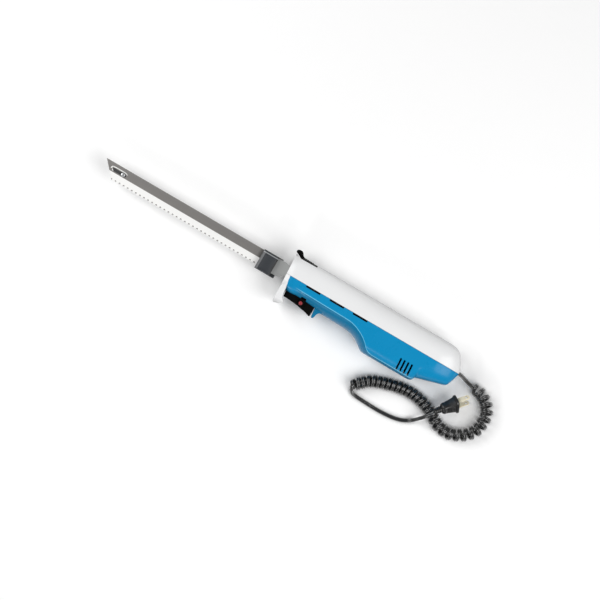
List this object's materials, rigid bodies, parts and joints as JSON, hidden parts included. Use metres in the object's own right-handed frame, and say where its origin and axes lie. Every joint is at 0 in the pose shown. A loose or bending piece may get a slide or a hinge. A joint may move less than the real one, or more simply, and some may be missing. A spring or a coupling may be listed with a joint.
{
  "type": "electric fillet knife",
  "caption": "Mains electric knife with twin reciprocating serrated blades, two-tone handle, finger guard, trigger, coiled cord and plug.",
  "frame": {"origin": "middle of the blade opening in the nose, on the plane between the two blades", "axes": "+X from the blade tip to the cord end, +Y from the cutting edge to the spine and top of the handle, +Z out of the left flank; the knife lies on its right flank"},
  "size_m": [0.5821, 0.1271, 0.048],
  "materials": {
    "white_abs": "gloss",
    "blue_abs": "gloss",
    "black_plastic": "satin",
    "charcoal_plastic": "satin",
    "red_plastic": "gloss",
    "natural_nylon": "satin",
    "blade_steel": "brushed",
    "zinc_steel": "satin",
    "spring_steel": "satin",
    "ground_steel": "ground",
    "cast_frame": "as cast",
    "lamination": "satin",
    "copper": "enamelled",
    "sintered_bronze": "matt",
    "brass": "satin",
    "carbon": "matt",
    "wire_sleeve": "satin",
    "cord_vinyl": "satin",
    "black_rubber": "matt"
  },
  "bodies": {
    "handle": {"upper_shell": "white_abs", "lower_shell": "blue_abs", "switch_body": "black_plastic", "blade_guide": "black_plastic", "end_bracket": "black_plastic", "shell_screws": "zinc_steel", "frame_screws": "zinc_steel", "motor_screws": "zinc_steel", "trigger_pin": "zinc_steel", "release_pin": "zinc_steel", "gear_axle": "zinc_steel", "trigger_spring": "spring_steel", "release_spring": "spring_steel", "brush_springs": "spring_steel", "gear_frame": "cast_frame", "field_stack": "lamination", "field_coils": "copper", "front_bearing": "sintered_bronze", "rear_bearing": "sintered_bronze", "brush_holders": "brass", "plug_prongs": "brass", "brushes": "carbon", "lead_wires": "wire_sleeve", "power_cord": "cord_vinyl", "plug_body": "cord_vinyl", "strain_relief": "black_rubber"},
    "armature": {"armature_shaft": "ground_steel", "armature_core": "lamination", "armature_windings": "copper", "commutator": "copper", "fan": "black_plastic"},
    "wheel": {"worm_wheel": "natural_nylon"},
    "left_cutter": {"left_blade": "blade_steel", "left_guard": "charcoal_plastic", "left_driver": "natural_nylon", "left_catch": "spring_steel"},
    "right_cutter": {"right_blade": "blade_steel", "right_guard": "charcoal_plastic", "right_driver": "natural_nylon", "right_catch": "spring_steel", "tip_rivet": "zinc_steel"},
    "trigger": {"trigger": "black_plastic"},
    "lock": {"lock_button": "red_plastic"},
    "plunger": {"switch_plunger": "natural_nylon"},
    "release": {"blade_release": "black_plastic"}
  },
  "joints": [
    {"name": "wheel_spin", "type": "hinge", "parent": "handle", "child": "wheel", "pos_m": [0.088, 0.006, 0], "axis": [0, 0, 1], "range_deg": [-180, 0]},
    {"name": "armature_spin", "type": "hinge", "parent": "handle", "child": "armature", "pos_m": [0.15, -0.01316, 0], "axis": [1, 0, 0], "range_deg": [0, 1260]},
    {"name": "left_stroke", "type": "slide", "parent": "handle", "child": "left_cutter", "axis": [1, 0, 0], "range_m": [0, 0.006]},
    {"name": "right_stroke", "type": "slide", "parent": "handle", "child": "right_cutter", "axis": [1, 0, 0], "range_m": [-0.006, 0]},
    {"name": "trigger_pivot", "type": "hinge", "parent": "handle", "child": "trigger", "pos_m": [0.012, -0.0186, 0], "axis": [0, 0, 1], "range_deg": [0, 3.5], "deforming": ["trigger_spring"]},
    {"name": "plunger_slide", "type": "slide", "parent": "handle", "child": "plunger", "axis": [0, 1, 0], "range_m": [0, 0.0012]},
    {"name": "lock_slide", "type": "slide", "parent": "trigger", "child": "lock", "axis": [0, 0, -1], "range_m": [0, 0.0025]},
    {"name": "release_pivot", "type": "hinge", "parent": "handle", "child": "release", "pos_m": [0.0255, 0.0206, 0], "axis": [0, 0, 1], "range_deg": [0, 4.5], "deforming": ["release_spring"]}
  ],
  "couplings": [
    {"joint": "armature_spin", "follows": "wheel_spin", "ratio": -7},
    {"joint": "left_stroke", "follows": "wheel_spin", "m_per_rad": -0.0019099},
    {"joint": "right_stroke", "follows": "wheel_spin", "m_per_rad": 0.0019099},
    {"joint": "plunger_slide", "follows": "trigger_pivot", "m_per_rad": 0.0179}
  ]
}
